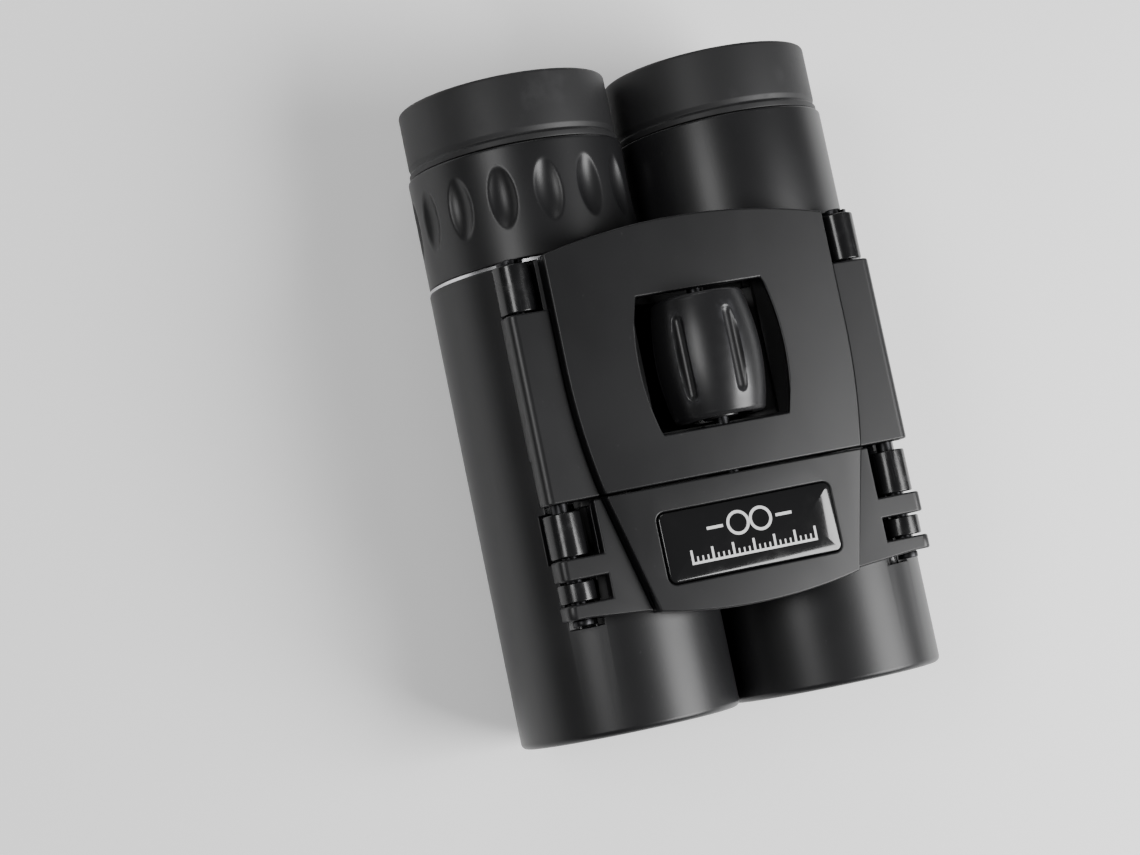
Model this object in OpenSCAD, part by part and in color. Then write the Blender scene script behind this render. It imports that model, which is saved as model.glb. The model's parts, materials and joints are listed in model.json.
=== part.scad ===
// Folding pocket binoculars, 8 power with 21 mm objectives, in the folded position.
// Millimetres. +X is the user's right, +Y is the way the user looks, +Z is up.
// The origin is under the middle of the folded pair, on the surface it lies on.

/* [Barrels] */
// Length from the eyecup rims to the objective rims
length = 96; // [94:1:100]
// Outer radius of a barrel
barrel_r = 16.4; // [16.2:0.1:16.6]
// Gap between the two folded barrels
barrel_gap = 0.3; // [0.2:0.1:0.5]
// Thickness of the soft sleeve on a barrel
sleeve_wall = 1.15; // [1:0.05:1.2]
// Wall of the barrel tube
tube_wall = 1.6; // [1.4:0.1:1.8]

/* [Hinges] */
// Distance of each hinge pin from the centre line
hinge_x = 25.6; // [25.4:0.1:25.8]
// Height of the hinge pins
hinge_z = 32.2; // [32:0.1:32.4]
// Radius of a hinge pin
pin_r = 1.2; // [1:0.1:1.3]
// Radius of the barrel's hinge lugs
lug_r = 2.7; // [2.6:0.1:2.8]

/* [Bridge] */
// Height of the bridge's raised panel on the centre line
panel_z = 37.4; // [37.2:0.1:37.8]
// Height of the flat wings beside the panel
wing_z = 35.3; // [35.2:0.1:35.5]
// Place along Y of the seam between the two covers
seam_y = 14.8; // [14.6:0.1:15]
// Radius of the panel's crown
crown_r = 260; // [200:10:400]

/* [Focus wheel] */
// Largest radius of the wheel
wheel_r = 7.7; // [7.4:0.1:7.8]
// Radius of the wheel's ends
wheel_end_r = 6.5; // [6.2:0.1:6.8]
// Length of the wheel
wheel_len = 17.8; // [17:0.1:18]
// Number of finger grooves
wheel_grooves = 6; // [5:1:8]

/* [Eyepieces] */
// Outer radius of the dioptre ring and of the plain sleeve
ring_r = 16.2; // [16:0.1:16.3]
// Outer radius of an eyecup
cup_r = 15.7; // [15.6:0.1:16]
// Radius of the well in an eyecup
cup_well_r = 13.7; // [13.5:0.1:13.9]
// Number of thumb flutes round the dioptre ring
flutes = 15; // [12:1:18]

/* [Hidden] */
$fn = 96;
fit = 0.05; // radial clearance of a running fit
gap = 0.15; // clearance between parts that move past each other

eye_y = -length / 2;
front_y = length / 2;
barrel_x = barrel_r + barrel_gap / 2;
barrel_z = barrel_r;
core_r = barrel_r - sleeve_wall - fit;
bore_r = core_r - tube_wall;
hinge_dx = hinge_x - barrel_x;
hinge_dz = hinge_z - barrel_z;
hinge_d = sqrt(hinge_dx * hinge_dx + hinge_dz * hinge_dz);
hinge_angle = atan2(hinge_dz, hinge_dx);

// Stretches of the hinge line, from the eyepiece end
lug_a = [-20, -13];
long_knuckle = [-12.7, seam_y - 0.2];
lug_b = [seam_y + 1.1, 22.2];
ear_d = [22.5, 25.5];
lug_c = [25.8, 28.6];
ear_f = [28.9, 31];
knuckle_r = 2.85;
knuckle_corner = 1.4;
web_half = 2.15;
groove_r = 3.3;
notch_a_r = 3.7;
notch_b_r = 4.4;

// Bridge outline, half width at each place along Y
panel_top_y = -20.4;
panel_nose_y = -22.9;
panel_half = 21.8;
panel_bend_y = -4;
panel_seam_half = 19.9;
panel_end_half = 15.5;
panel_end_y = 32.2;
panel_tip_y = 33.8;
deck_z = 33.15;
skin = 1.2;
slot_x = 21.5;
groove_deep = 0.6; // shadow groove between the panel and the wings
groove_wide = 0.35;

// Focus wheel and its window
wheel_z = 35.2;
wheel_y = -2.1;
window_half = 9.8;
window_mid = 11.2;
window_y = [-12.1, 7.9];
spindle_r = 1.1;
groove_angle = 49;
grub_angle = 139;
spindle_y = [-14.6, 16.6];
pillars = [[-14.2, -12.7], [7.6, 9], [14.9, 16.4]];
travel = 1.2;
nut_y = [10.3, 13.3];
collar_y = [9.3, 13.3];
collar_r = 2;
fork_y = [10.4, 12.4];

// Nameplate
plate_y = [18.65, 28.95];
plate_half = 13.5;
plate_corner = 1.2;
plate_clear = 0.2;
plate_floor = 36;
plate_top = 37.6;

// Keel under the bridge
keel_z = 28;
keel_y = [-19.5, 30.5];
keel_half = 9.5;
screw_ys = [-17.4, 18.6, 27.4];

// Places along Y in an eyepiece
sleeve_y0 = -20.5;
trim_y = [-20.95, -20.5];
ring_y = [-37.7, -21.1];
cup_base_y = -37.82;
flute_angle = 9.6;
cup_floor_y = -39.4;
cell_y = [-36.2, -18];
retainer_y = -38.6;

// Places along Y of the optics in a barrel
cage_y = [-10, 6.5];
prism_y = 4;
prism_d = 10;
prism_gap = 0.3;
objective_cell_y = [26, 41.2];
lens_seat_y = 33.4;
lens_r = 10.5;
hood_y = [42.6, 46.7];
hood_bore_r = 11.4;

// ---- Helpers ----

// A round bar along Y
module rod(r, y, sides = $fn) {
    translate([0, y[0], 0]) rotate([-90, 0, 0]) cylinder(r = r, h = y[1] - y[0], $fn = sides);
}

// A round tube along Y
module tube(r_out, r_in, y) {
    difference() {
        rod(r_out, y);
        rod(r_in, [y[0] - 1, y[1] + 1]);
    }
}

// A turned part along Y, from a list of [radius, y]
module turned(points, sides = $fn) {
    rotate([-90, 0, 0]) rotate_extrude($fn = sides) polygon(points);
}

// A box from its low and high corners
module block(x, y, z) {
    translate([x[0], y[0], z[0]]) cube([x[1] - x[0], y[1] - y[0], z[1] - z[0]]);
}

// Children on the right barrel's axis
module on_barrel() {
    translate([barrel_x, 0, barrel_z]) children();
}

// Children on the right hinge's axis
module on_hinge() {
    translate([hinge_x, 0, hinge_z]) children();
}

// Children on the barrel's axis, turned so that +X points to the hinge
module to_hinge() {
    on_barrel() rotate([0, -hinge_angle, 0]) children();
}

// A right-hand part, or its mirror image for the left
module hand(side) {
    if (side == "right") children();
    else mirror([1, 0, 0]) children();
}

// Both hands of a part
module both() {
    children();
    mirror([1, 0, 0]) children();
}

// Corner arc points about a centre, for outlines
function arc(c, r, a0, a1, n) =
    [for (i = [0 : n]) let (a = a0 + (a1 - a0) * i / n) c + r * [cos(a), sin(a)]];

// A rectangle with round corners, made of true arcs
module round_rect(x, y, r) {
    translate([x[0] + r, y[0]]) square([x[1] - x[0] - 2 * r, y[1] - y[0]]);
    translate([x[0], y[0] + r]) square([x[1] - x[0], y[1] - y[0] - 2 * r]);
    for (cx = [x[0] + r, x[1] - r], cy = [y[0] + r, y[1] - r]) translate([cx, cy]) circle(r);
}

// ---- Bridge ----

// Radius of the arc through (0, nose) and (half, y)
function bow_r(half, rise) = (half * half + rise * rise) / (2 * rise);

// Half width of the raised panel from its bend to the seam
function panel_side(y) = let (r = bow_r(seam_y - panel_bend_y, panel_half - panel_seam_half))
    panel_half - r + sqrt(r * r - (y - panel_bend_y) * (y - panel_bend_y));

// End arc of the panel, from x = half to x = -half
function bow(half, y, tip, n) = let (r = bow_r(half, abs(tip - y)), s = sign(tip - y))
    [for (i = [0 : n]) let (x = half - 2 * half * i / n) [x, tip - s * (r - sqrt(r * r - x * x))]];

// Points down the panel's side from its bend to the seam
function side_points(n, grow) =
    [for (i = [0 : n]) let (y = panel_bend_y + (seam_y - panel_bend_y) * i / n) [panel_side(y) + grow, y]];

// The same points on the other side, in reverse order
function mirrored(points) = [for (i = [len(points) - 1 : -1 : 0]) [-points[i][0], points[i][1]]];

// Outline of the raised panel, widened at its sides by grow
module panel_outline(grow = 0) {
    right = concat([[panel_half + grow, panel_top_y]], side_points(8, grow),
        [[panel_end_half + grow, panel_end_y]]);
    front = bow(panel_end_half + grow, panel_end_y, panel_tip_y, 12);
    back = bow(panel_half + grow, panel_top_y, panel_nose_y, 12);
    polygon(concat(right, [for (i = [1 : 11]) front[i]], mirrored(right),
        [for (i = [11 : -1 : 1]) back[i]]));
}

// Outline of the flat wings, under the panel
module wing_outline() {
    inner = 12;
    polygon([[inner, long_knuckle[0]], [hinge_x, long_knuckle[0]], [hinge_x, ear_f[1]],
        [inner, panel_end_y]]);
}

// Cross-section of a bridge knuckle, looking along the hinge
module knuckle_section() {
    h = wing_z - hinge_z;
    circle(knuckle_r);
    translate([-knuckle_r, 0]) square([2 * knuckle_r, h - knuckle_corner]);
    translate([-knuckle_r, 0]) square([2 * knuckle_r - knuckle_corner, h]);
    translate([knuckle_r - knuckle_corner, h - knuckle_corner]) circle(knuckle_corner);
}

// A bridge knuckle round the right hinge axis
module knuckle(y) {
    on_hinge() translate([0, y[1], 0]) rotate([90, 0, 0]) linear_extrude(y[1] - y[0]) knuckle_section();
}

// Solid block of the covers: crowned panel, wings and knuckles
module cover_block() {
    intersection() {
        translate([0, 0, deck_z]) linear_extrude(panel_z) panel_outline();
        translate([0, 0, panel_z - crown_r]) rod(crown_r, [-60, 60], 1440);
    }
    both() {
        difference() {
            translate([0, 0, deck_z]) linear_extrude(wing_z - deck_z) wing_outline();
            block([slot_x, 40], [long_knuckle[1], ear_d[0]], [20, 50]);
            block([slot_x, 40], [ear_d[1], ear_f[0]], [20, 50]);
            translate([0, 0, wing_z - groove_deep]) linear_extrude(5) panel_outline(groove_wide);
        }
        knuckle(long_knuckle);
        knuckle(ear_d);
        knuckle(ear_f);
    }
}

// Space of the wheel's window, with bowed sides
module window_cut() {
    r = bow_r((window_y[1] - window_y[0]) / 2, window_mid - window_half);
    translate([0, 0, 20]) linear_extrude(40) intersection() {
        translate([-20, window_y[0]]) square([40, window_y[1] - window_y[0]]);
        translate([window_mid - r, (window_y[0] + window_y[1]) / 2]) circle(r, $fn = 360);
        translate([r - window_mid, (window_y[0] + window_y[1]) / 2]) circle(r, $fn = 360);
    }
}

// Room inside the covers for the frame, the spindle and the yoke
module mechanism_room() {
    ceiling = panel_z - skin + 0.15;
    block([-14, 14], [-18, -14.9], [deck_z - 1, 35.6]);
    block([-14, 14], [-14.9, 17.2], [deck_z - 1, ceiling]);
    both() {
        block([13.5, hinge_x], fork_y + [-travel - 0.4, travel + 0.4], [deck_z - 1, 34.55]);
        on_hinge() rod(collar_r + 0.2, [collar_y[0] - travel - 0.2, seam_y]);
        block([hinge_x - 3, hinge_x + 4], [collar_y[0] - travel - 0.2, seam_y],
            [hinge_z - 4, deck_z - 1]);
    }
}

module cover_bores() {
    both() on_hinge() rod(pin_r + fit, [-30, 40]);
    for (y = screw_ys) translate([0, 0, 30]) translate([0, y, 0]) cylinder(r = 0.8, h = 5.6);
}

module top_cover() {
    color("#3a3a3c") difference() {
        cover_block();
        block([-40, 40], [seam_y - 0.2, 60], [0, 60]);
        window_cut();
        mechanism_room();
        cover_bores();
    }
}

module front_cover() {
    color("#3a3a3c") difference() {
        cover_block();
        block([-40, 40], [-60, seam_y + 0.1], [0, 60]);
        mechanism_room();
        cover_bores();
        block([-9, 9], [19.9, 26.1], [deck_z - 1, 35.2]);
        translate([0, 0, plate_floor]) linear_extrude(10)
            round_rect([-plate_half, plate_half], plate_y, plate_corner);
    }
}

module nameplate() {
    c = plate_clear;
    color("#0a0a0a") translate([0, 0, plate_floor]) linear_extrude(plate_top - plate_floor)
        round_rect([-plate_half + c, plate_half - c], plate_y + [c, -c], plate_corner - c);
}

// Keel section: a bar that follows the two barrels with clearance
module keel_block(half, z, y, clear) {
    difference() {
        block([-half, half], y, z);
        both() on_barrel() rod(barrel_r + clear, [-60, 60]);
    }
}

module under_cover() {
    color("#2a2a2b") difference() {
        keel_block(keel_half, [keel_z, deck_z - 0.05], keel_y, 0.45);
        keel_block(keel_half - 1, [keel_z + 1.1, deck_z + 1], [-14.9, 17.2], 1.5);
        block([-20, 20], [window_y[0] + 0.4, window_y[1] - 0.4], [20, 40]);
        for (y = screw_ys) translate([0, y, 0]) {
            cylinder(r = 0.95, h = 50);
            cylinder(r = 1.7, h = keel_z + 1);
        }
    }
}

// Inner frame: a plate with pillars for the spindle
module bridge_frame() {
    color("#1d1d1e") difference() {
        union() {
            block([-13.8, 13.8], [-14.7, 17], [deck_z, deck_z + 0.9]);
            for (y = pillars) block([-3, 3], y, [deck_z, wheel_z + 0.85]);
        }
        block([-9.6, 9.6], [-12.5, 7.4], [30, 50]);
        block([-3.6, 3.6], [nut_y[0] - travel - 0.1, nut_y[1] + travel + 0.3], [30, 50]);
        both() block([3, 20], [fork_y[0] - travel - 0.3, fork_y[1] + travel + 0.3], [deck_z - 0.1, 50]);
        translate([0, 0, wheel_z]) rod(spindle_r + 0.5, [-30, 30]);
    }
}

// Plain bushes that carry the spindle in the frame's pillars
module spindle_bushes() {
    color("#2c2c2e") for (y = pillars) translate([0, 0, wheel_z]) intersection() {
        tube(spindle_r + 0.45, spindle_r + fit, y);
        block([-5, 5], [-60, 60], [-5, 0.85]);
    }
}

module cover_screws() {
    color("#2c2c2e") for (y = screw_ys) translate([0, y, keel_z - 0.35]) difference() {
        union() {
            cylinder(r = 1.5, h = 1.3);
            cylinder(r = 0.75, h = 7.4);
        }
        for (a = [0, 90]) rotate(a) translate([-0.9, -0.2, -1]) cube([1.8, 0.4, 1.5]);
    }
}

module hinge_pin(side) {
    color("#2c2c2e") hand(side) on_hinge() union() {
        rod(pin_r, [-20.9, ear_f[1] + 0.3]);
        rod(1.5, [ear_f[1] + 0.05, ear_f[1] + 0.95]);
    }
}

module hinge_pin_clips() {
    color("#2c2c2e") both() on_hinge() difference() {
        tube(1.9, pin_r + 0.01, [-20.6, -20.15]);
        translate([0, -20.4, 2]) cube([1.6, 2, 3], center = true);
    }
}

// ---- Focus wheel, spindle and yoke ----

module focus_wheel() {
    r = bow_r(wheel_len / 2, wheel_r - wheel_end_r);
    n = 12;
    half = wheel_len / 2;
    edge = 0.5;
    side = [for (i = [0 : n]) let (y = -half + edge + (wheel_len - 2 * edge) * i / n)
        [wheel_r - r + sqrt(r * r - y * y), y]];
    color("#2b2b2d") translate([0, wheel_y, wheel_z]) difference() {
        turned(concat([[0, -half], [wheel_end_r - edge, -half]], side,
            [[wheel_end_r - edge, half], [0, half]]));
        rod(spindle_r + fit, [-20, 20]);
        for (i = [0 : wheel_grooves - 1]) rotate([0, groove_angle + i * 360 / wheel_grooves, 0])
            translate([0, 0, wheel_r + 0.05]) wheel_groove();
        for (s = [-1, 1]) translate([0, s * half, 0]) tube(4.6, 2.6, [-1.2, 1.2]);
        rotate([0, grub_angle, 0]) translate([0, 0.3, 0.5]) rotate(37) cylinder(r = 0.65, h = 20);
    }
}

// One finger groove: a round-ended bar sunk in the wheel
module wheel_groove() {
    turned(concat(arc([0, 5.4], 1, 90, 0, 3), arc([0, -5.4], 1, 0, -90, 3)), 32);
}

module focus_spindle() {
    // The thread is shown as rings at its pitch
    pitch = 0.8;
    first = pillars[1][1] + 0.1;
    count = floor((pillars[2][0] - 0.1 - first) / pitch);
    color("#2c2c2e") translate([0, 0, wheel_z]) difference() {
        rod(spindle_r, spindle_y);
        for (i = [0 : count - 1]) let (y = first + i * pitch)
            tube(spindle_r + 1, spindle_r - 0.18, [y + 0.2, y + 0.6]);
    }
}

// Grub screw that holds the wheel on the spindle
module wheel_grub_screw() {
    color("#9a9a9e") translate([0, wheel_y + 0.3, wheel_z]) rotate([0, grub_angle, 0]) difference() {
        translate([0, 0, spindle_r + 0.02]) cylinder(r = 0.6, h = 3.6);
        translate([-1, -0.12, spindle_r + 3]) cube([2, 0.24, 2]);
    }
}

// Yoke: a nut saddle on the spindle with a fork at each hinge
module focus_yoke() {
    tongue_x = hinge_x - 3.1;
    color("#b9b9bd") difference() {
        union() {
            block([-3.2, 3.2], nut_y, [32.2, wheel_z + 0.75]);
            both() block([3, hinge_x - 1.5], fork_y, [deck_z + 0.15, deck_z + 1.2]);
            both() block([tongue_x, hinge_x], fork_y, [hinge_z - 0.9, deck_z + 1.2]);
        }
        translate([0, 0, wheel_z]) rod(spindle_r + fit, [-30, 30]);
        both() on_hinge() rod(collar_r - 0.4, [-30, 30]);
        both() block([hinge_x - 0.2, hinge_x + 5], [-30, 30], [20, 50]);
        both() on_barrel() rod(barrel_r + 0.25, [-30, 30]);
    }
}

// ---- Barrels ----

// Collar on the hinge pin, arm through the barrel's wall, and rail to the objective cell
module focus_arm(side) {
    rail = [bore_r - 1.2, bore_r - 0.25];
    color("#b9b9bd") hand(side) union() {
        difference() {
            on_hinge() rod(collar_r, collar_y);
            on_hinge() rod(pin_r + fit, [-60, 60]);
            on_hinge() tube(collar_r + 1, collar_r - 0.5, fork_y + [-gap, gap]);
        }
        difference() {
            to_hinge() block([rail[0] + 0.2, hinge_d - pin_r - 0.25], collar_y, [-1.1, 1.1]);
            on_hinge() tube(collar_r + 0.35, collar_r - 0.5, fork_y + [-gap, gap]);
        }
        to_hinge() intersection() {
            tube(rail[1], rail[0], [collar_y[0], objective_cell_y[0] + 2]);
            block([8, 20], [0, 60], [-2.6, 2.6]);
        }
    }
}

// Room for the focus arm through a barrel wall
module arm_slot() {
    to_hinge() block([10, 20], collar_y + [-travel - 0.2, travel + 0.2], [-1.35, 1.35]);
}

module lug(y) {
    on_hinge() rod(lug_r, y);
    to_hinge() block([bore_r + 0.5, hinge_d - 1.6], y, [-web_half, web_half]);
}

module barrel_tube(side) {
    color("#161617") hand(side) difference() {
        union() {
            difference() {
                on_barrel() rod(core_r, [sleeve_y0, 46.7]);
                on_hinge() rod(groove_r, [lug_a[1] - 0.1, ear_f[1] + 1.3]);
            }
            for (y = [lug_a, lug_b, lug_c]) lug(y);
        }
        on_barrel() rod(bore_r, [-60, 60]);
        on_hinge() rod(pin_r + fit, [-60, 60]);
        arm_slot();
    }
}

// Soft outer sleeve, notched round the hinge lugs
module barrel_sleeve(side) {
    edge = 0.9;
    inner = core_r + fit;
    lip_r = core_r - 1.5;
    color("#2e2e30") hand(side) difference() {
        on_barrel() turned(concat(
            [[inner, sleeve_y0], [barrel_r - 0.15, sleeve_y0], [barrel_r, sleeve_y0 + 0.15]],
            arc([barrel_r - edge, front_y - edge], edge, 0, 90, 6),
            [[lip_r, front_y], [lip_r, 46.75], [inner, 46.75]]));
        on_hinge() rod(notch_a_r, [sleeve_y0 - 1, lug_a[1] + 0.4]);
        on_hinge() rod(groove_r, [lug_a[1], ear_f[1] + 1.3]);
        on_hinge() rod(notch_b_r, lug_b + [-0.4, 0.5]);
        to_hinge() block([core_r, hinge_d], lug_c, [-web_half - fit, web_half + fit]);
        arm_slot();
    }
}

module trim_ring(side) {
    color("#c8c8cc") hand(side) on_barrel() difference() {
        tube(barrel_r - 0.1, bore_r + 0.3, trim_y + [0, -0.02]);
        rotate([0, -hinge_angle, 0]) translate([hinge_d, 0, 0]) rod(lug_r, [-60, 60]);
    }
}

module thread_tube(side) {
    color("#b9b9bd") hand(side) on_barrel() tube(bore_r - fit, bore_r - 1.2, [-32, cage_y[0] - 0.1]);
}

// Plastic holder for the two prisms, split by a square channel
module prism_cage(side) {
    half = prism_d / 2 + fit;
    color("#1b1b1c") hand(side) on_barrel() difference() {
        rod(bore_r - fit, cage_y);
        rod(prism_d / 2, [cage_y[0] - 1, cage_y[1] + 1]);
        block([-half, half], [prism_y - 12.2, prism_y + 0.1], [-9.4, 9.4]);
        block([-half - 2.5, half + 2.5], [prism_y - 9, prism_y - 3], [9.35, 9.85]);
    }
}

// Side view of the first prism, along the axis from the objective: entry face, gap face, mirror face
module half_prism(side) {
    h = prism_d / 2;
    s = 9.3;
    color("#dfe9ee") hand(side) on_barrel() translate([-h, prism_y, 0]) rotate([90, 0, 90])
        linear_extrude(prism_d) polygon([[0, h], [-s, h - s], [-s, -h - s * tan(22.5)], [0, -h]]);
}

// Second prism, with its 90 degree roof along the top edge
module roof_prism(side) {
    h = prism_d / 2;
    s = 11.8;
    g = prism_gap * sqrt(2);
    face = 13.2;
    foot = [-s, h - s + g];
    top = foot + [0, face];
    heel = foot + face * [cos(45), sin(45)];
    color("#dfe9ee") hand(side) on_barrel() translate([0, prism_y, 0]) intersection() {
        translate([-h, 0, 0]) rotate([90, 0, 90]) linear_extrude(prism_d) polygon([foot, heel, top]);
        translate([0, heel[0], heel[1]])
            rotate([-atan2(top[1] - heel[1], heel[0] - top[0]), 0, 0]) rotate([0, -45, 0])
            translate([-20, -20, -20]) cube([20, 40, 20]);
    }
}

module prism_spring(side) {
    w = prism_d / 2 + 2.3;
    color("#c8c8cc") hand(side) on_barrel() block([-w, w], [prism_y - 8.8, prism_y - 3.2], [9.5, 9.8]);
}

// Fixed ring in front of the objective, with light-stopping grooves
module objective_hood(side) {
    color("#0e0e0e") hand(side) on_barrel() difference() {
        tube(bore_r - fit, hood_bore_r, hood_y);
        turned([[hood_bore_r - 1, hood_y[1] + 0.1], [hood_bore_r + 0.9, hood_y[1] + 0.1],
            [hood_bore_r - 1, hood_y[1] - 1.8]]);
    }
}

module objective_cell(side) {
    color("#161617") hand(side) on_barrel() difference() {
        rod(bore_r - 0.15, objective_cell_y);
        rod(lens_r - 0.9, [0, 60]);
        rod(lens_r + fit, [lens_seat_y, 60]);
        rod(bore_r - 2, [0, lens_seat_y - 1.4]);
        rotate([0, -hinge_angle, 0]) block([8, 20], [0, objective_cell_y[0] + 2.05], [-2.7, 2.7]);
    }
}

// A ball of glass centred on the axis, whose front or back face passes through y
module ball(r, y) {
    translate([0, y, 0]) sphere(r, $fn = 180);
}

module crown_lens(side) {
    front = lens_seat_y + 5;
    color("#d8e6ff") hand(side) on_barrel() intersection() {
        rod(lens_r, [lens_seat_y, front]);
        ball(36, front - 36);
        ball(30, lens_seat_y + 1.2 + 30);
    }
}

module flint_lens(side) {
    color("#d8e6ff") hand(side) on_barrel() difference() {
        rod(lens_r, [lens_seat_y + fit, lens_seat_y + 3.1]);
        ball(30.01, lens_seat_y + 1.19 + 30);
    }
}

module lens_ring(side) {
    color("#0e0e0e") hand(side) on_barrel() difference() {
        tube(lens_r, lens_r - 0.9, [lens_seat_y + 4, objective_cell_y[1] - 0.9]);
        for (a = [0, 90]) rotate([0, a, 0])
            block([-20, 20], [objective_cell_y[1] - 1.5, 60], [-0.5, 0.5]);
    }
}

// ---- Eyepieces ----

// Lens tube that slides on its key inside the thread tube
module eyepiece_cell(side) {
    color("#161617") hand(side) on_barrel() difference() {
        union() {
            rod(bore_r - 1.3, cell_y);
            rod(bore_r - 0.1, [cell_y[0], cell_y[0] + 1.3]);
        }
        rod(7.6, [-60, 60]);
        rod(8.25, [-60, -29]);
        rod(8.25, [-23.5, 0]);
        rod(9, [-60, cell_y[0] + 0.9]);
    }
}

module eye_lens(side) {
    color("#d8e6ff") hand(side) on_barrel() intersection() {
        rod(8.2, [-35.2, -30]);
        ball(22, -35.2 + 22);
        ball(22, -30 - 22 + 0.6);
    }
}

module field_lens(side) {
    color("#d8e6ff") hand(side) on_barrel() intersection() {
        rod(8.2, [-23.4, -19.6]);
        ball(24, -23.4 + 24);
        ball(40, -19.6 - 40);
    }
}

module field_stop(side) {
    color("#0e0e0e") hand(side) on_barrel() tube(8.2, 5.5, [-19.3, -18.3]);
}

// Bezel ring that holds the eye lens
module eyepiece_retainer(side) {
    color("#0e0e0e") hand(side) on_barrel() turned([[8.95, cell_y[0] + 0.85],
        [6.9, cell_y[0] + 0.85], [6.3, cell_y[0] + 0.2], [6.3, retainer_y + 1],
        [7.1, retainer_y + 0.2], [7.4, retainer_y], [8.6, retainer_y],
        [8.95, retainer_y + 0.35]]);
}

// Shell shared by the dioptre ring and the plain sleeve
module eyepiece_shell(y_end) {
    on_barrel() turned([[9.6, ring_y[0]], [ring_r - 0.35, ring_y[0]], [ring_r, ring_y[0] + 0.35],
        [ring_r, y_end - 0.2], [ring_r - 0.2, y_end], [bore_r + 0.1, y_end],
        [bore_r + 0.1, ring_y[0] + 0.6], [9.6, ring_y[0] + 0.6]]);
}

// Spindle-shaped cutter that leaves a pointed oval flute
module flute_cutter() {
    half = 8;
    deep = 3;
    r = bow_r(half, deep);
    n = 10;
    turned(concat([[0, -half]], [for (i = [1 : n - 1]) let (y = -half + 2 * half * i / n)
        [deep - r + sqrt(r * r - y * y), y]], [[0, half]]));
}

module dioptre_ring() {
    mid = -30.3;
    color("#2e2e30") difference() {
        eyepiece_shell(ring_y[1]);
        for (i = [0 : flutes - 1]) on_barrel() rotate([0, flute_angle + i * 360 / flutes, 0])
            translate([ring_r + 2.1, mid, 0]) flute_cutter();
    }
}

module left_eyepiece_sleeve() {
    color("#2e2e30") hand("left") eyepiece_shell(trim_y[0]);
}

// Rubber eyecup with a bead at its base
module eyecup(side) {
    base = cup_base_y;
    color("#262628") hand(side) on_barrel() turned(concat(
        [[9.7, ring_y[0]], [cup_r - 0.9, ring_y[0]], [cup_r - 0.9, base], [cup_r - 0.15, base],
        [cup_r + 0.1, base - 0.25], [cup_r + 0.1, base - 0.8], [cup_r - 0.2, base - 1.1],
        [cup_r, base - 1.4]],
        arc([cup_r - 0.5, eye_y + 0.5], 0.5, 0, -90, 4),
        [[cup_well_r + 0.7, eye_y], [cup_well_r, eye_y + 0.8], [cup_well_r, cup_floor_y],
        [10.3, cup_floor_y], [9.7, cup_floor_y + 0.4]]));
}

// ---- Nodes ----

bridge_frame();
top_cover();
front_cover();
nameplate();
under_cover();
cover_screws();
hinge_pin("right");  // right_hinge_pin
hinge_pin("left");  // left_hinge_pin
hinge_pin_clips();
spindle_bushes();
focus_wheel();
focus_spindle();
wheel_grub_screw();
focus_yoke();
dioptre_ring();
left_eyepiece_sleeve();
for (side = ["right", "left"]) {
    barrel_tube(side);
    barrel_sleeve(side);
    trim_ring(side);
    thread_tube(side);
    prism_cage(side);
    half_prism(side);
    roof_prism(side);
    prism_spring(side);
    objective_hood(side);
    focus_arm(side);
    objective_cell(side);
    crown_lens(side);
    flint_lens(side);
    lens_ring(side);
    eyepiece_cell(side);
    eye_lens(side);
    field_lens(side);
    field_stop(side);
    eyepiece_retainer(side);
    eyecup(side);
}
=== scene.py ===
"""Folding pocket binoculars: the finished look, built on the packed model."""

import json
import math

import bmesh
import bpy
from bpy.props import FloatProperty, FloatVectorProperty, IntProperty, PointerProperty
from mathutils import Euler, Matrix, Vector


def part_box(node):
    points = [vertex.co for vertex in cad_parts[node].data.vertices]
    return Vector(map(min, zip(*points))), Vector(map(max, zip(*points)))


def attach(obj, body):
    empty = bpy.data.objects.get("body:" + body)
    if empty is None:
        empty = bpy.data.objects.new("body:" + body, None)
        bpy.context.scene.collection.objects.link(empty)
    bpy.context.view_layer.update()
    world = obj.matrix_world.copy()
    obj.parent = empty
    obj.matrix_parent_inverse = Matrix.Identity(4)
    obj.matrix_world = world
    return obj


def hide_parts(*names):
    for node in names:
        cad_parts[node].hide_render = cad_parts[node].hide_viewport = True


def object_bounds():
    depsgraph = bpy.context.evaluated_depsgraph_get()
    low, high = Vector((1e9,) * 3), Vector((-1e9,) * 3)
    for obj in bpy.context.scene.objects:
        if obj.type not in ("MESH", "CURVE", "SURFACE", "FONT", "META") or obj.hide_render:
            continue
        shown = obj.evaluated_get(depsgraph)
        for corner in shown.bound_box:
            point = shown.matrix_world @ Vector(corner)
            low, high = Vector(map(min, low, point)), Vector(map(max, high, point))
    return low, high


bl_info = {
    "name": "Folding pocket binoculars",
    "version": (1, 0, 0),
    "blender": (4, 5, 0),
    "location": "View3D > Sidebar > Binoculars",
    "description": "Builds the shells, rings, wheel, badge, finishes and studio of a folding pair",
    "category": "Object",
}

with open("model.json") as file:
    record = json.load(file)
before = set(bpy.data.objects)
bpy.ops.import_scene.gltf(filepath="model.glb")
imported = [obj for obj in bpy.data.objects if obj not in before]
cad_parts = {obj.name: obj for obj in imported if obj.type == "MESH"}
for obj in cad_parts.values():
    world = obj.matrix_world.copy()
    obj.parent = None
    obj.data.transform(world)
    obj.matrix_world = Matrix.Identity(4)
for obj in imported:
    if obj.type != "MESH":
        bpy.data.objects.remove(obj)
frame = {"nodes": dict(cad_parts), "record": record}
CAD_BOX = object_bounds()
MM = 0.001
SHARP_ANGLE = math.radians(32)
FLAT_ANGLE = math.radians(0.6)

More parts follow.
